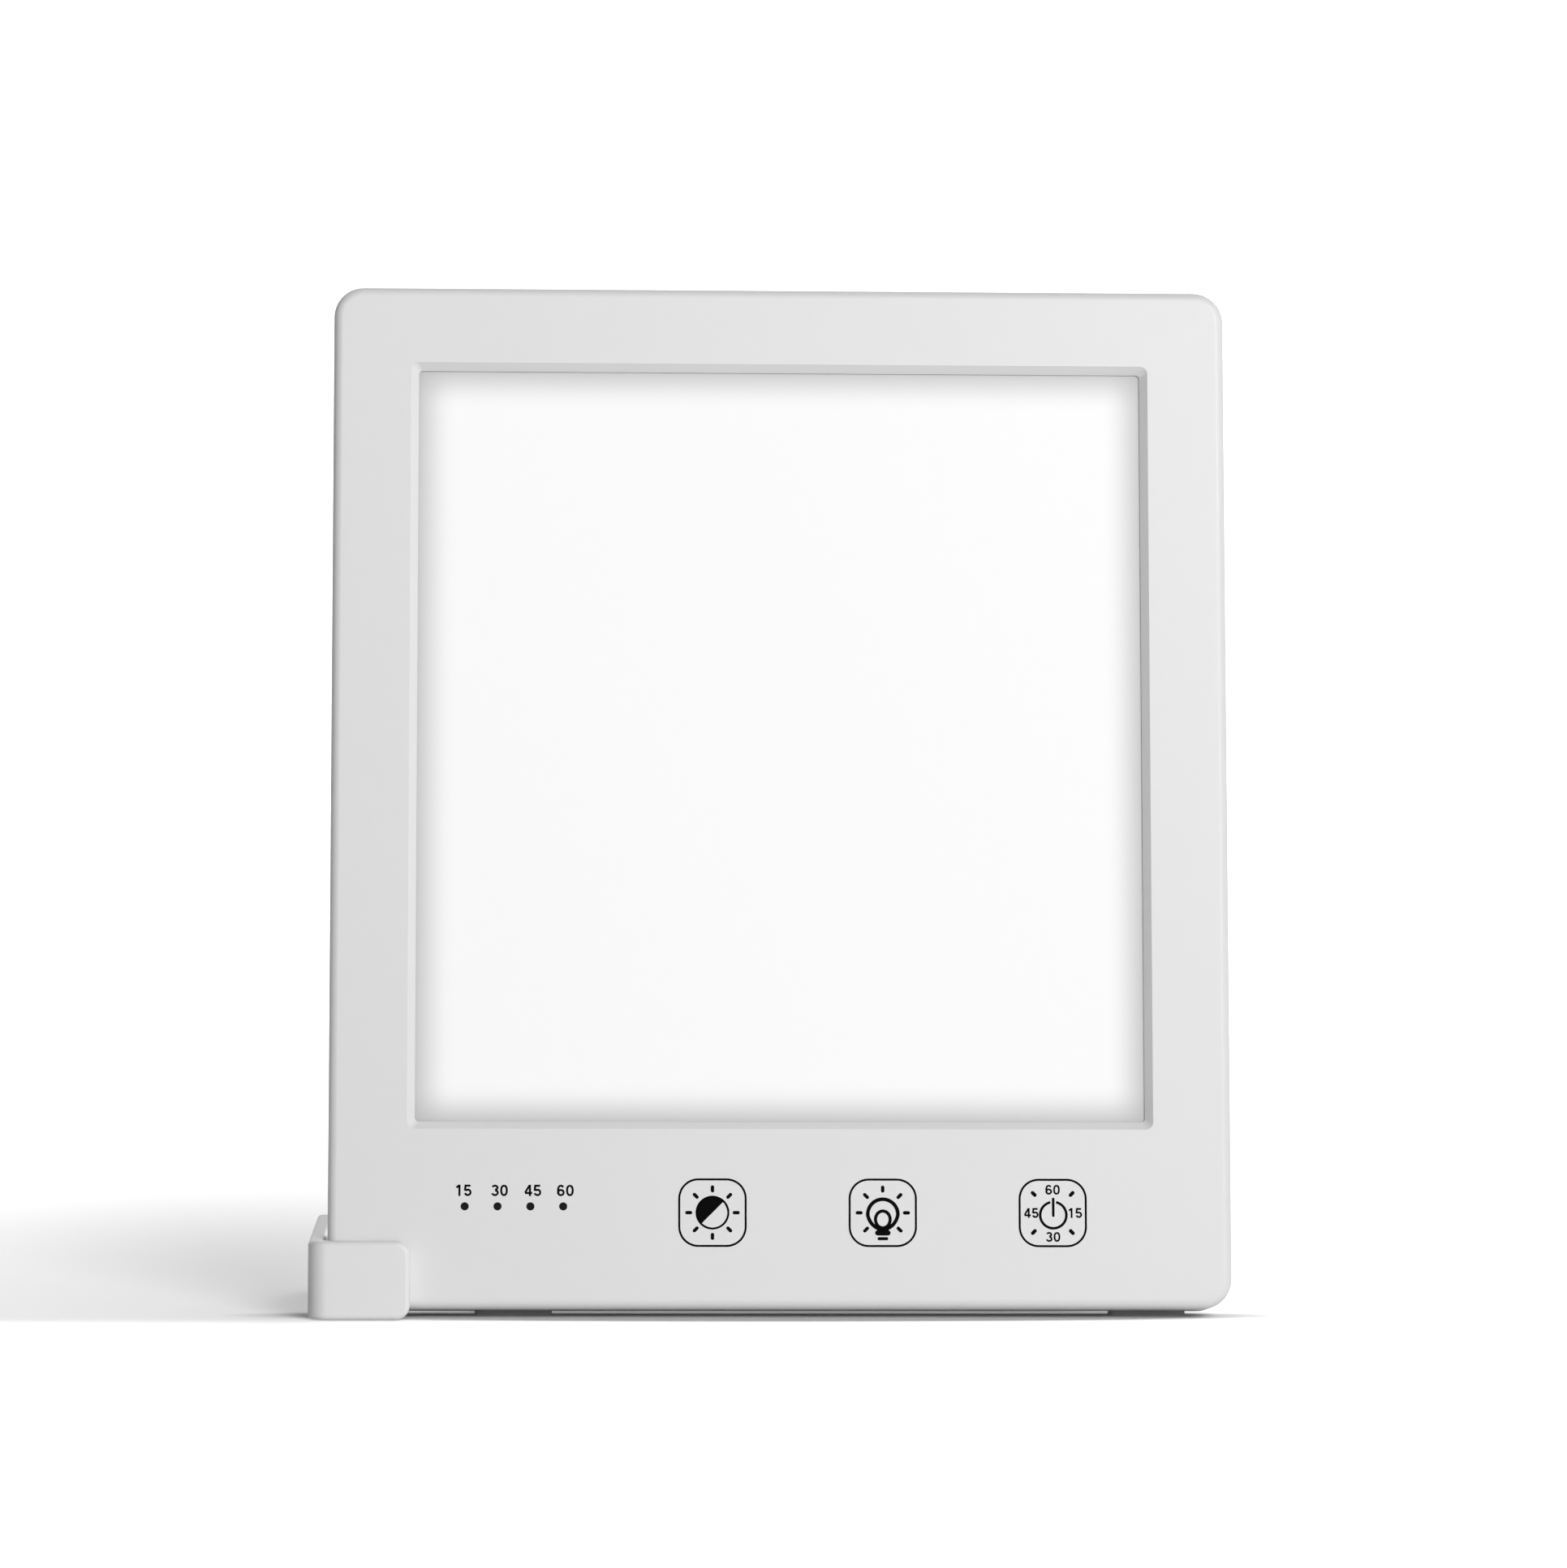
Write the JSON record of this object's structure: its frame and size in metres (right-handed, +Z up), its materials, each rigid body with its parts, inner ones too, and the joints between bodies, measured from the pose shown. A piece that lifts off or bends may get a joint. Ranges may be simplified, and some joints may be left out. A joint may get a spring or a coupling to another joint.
{
  "type": "light therapy lamp",
  "caption": "Slim flat light panel with a bevelled window and touch controls, leaning back on an L-shaped swing foot that folds flat behind it.",
  "frame": {"origin": "middle of the whole lamp's box on the surface that it stands on, foot swung out", "axes": "+Z up, -Y the way that the light shines, +X to the right of somebody facing the lamp"},
  "size_m": [0.2144, 0.0762, 0.24],
  "materials": {
    "casing": "fine matt light grey moulded plastic",
    "foot": "fine matt light grey moulded plastic",
    "diffuser": "opal acrylic, lit from behind, emissive",
    "film": "clear prism film",
    "gasket": "grey foam tape",
    "reflector": "white reflecting plastic",
    "board_metal": "aluminium board with white mask",
    "board": "green circuit board",
    "led": "light package with yellow phosphor",
    "component": "black moulded parts on the boards",
    "socket": "ivory nylon plug socket",
    "screw": "zinc plated steel",
    "lead": "soft lead insulation",
    "ribbon": "grey ribbon lead insulation",
    "pad": "conductive foam",
    "lens": "dark tinted lens",
    "inlet": "black nylon",
    "contact": "nickel plated brass",
    "steel": "plain steel",
    "washer": "acetal",
    "rubber": "dark grey rubber"
  },
  "bodies": {
    "panel": {"front_bezel": "casing", "rear_cover": "casing", "window_gasket": "gasket", "diffuser_plate": "diffuser", "diffusing_film": "film", "reflector_tray": "reflector", "led_board": "board_metal", "led_packages": "led", "led_board_screws": "screw", "led_socket": "socket", "led_leads": "lead", "cover_screws": "screw", "control_board": "board", "control_board_parts": "component", "control_board_screws": "screw", "control_ribbon": "ribbon", "touch_pads": "pad", "indicator_lenses": "lens", "indicator_leds": "led", "driver_board": "board", "driver_board_parts": "component", "driver_board_screws": "screw", "dc_inlet": "inlet", "dc_inlet_pin": "contact", "hinge_bracket": "steel", "hinge_bracket_screws": "screw", "hinge_pin": "steel", "hinge_pin_clip": "steel", "friction_washer": "washer", "spring_washer": "steel", "base_feet": "rubber"},
    "foot": {"foot_bracket": "foot", "foot_pads": "rubber", "knuckle_bush": "washer"}
  },
  "joints": [
    {"name": "foot_swing", "type": "hinge", "parent": "panel", "child": "foot", "pos_m": [-0.0948, -0.02509, 0.00513], "axis": [0, -0.1392, -0.9903], "range_deg": [0, 90]}
  ]
}
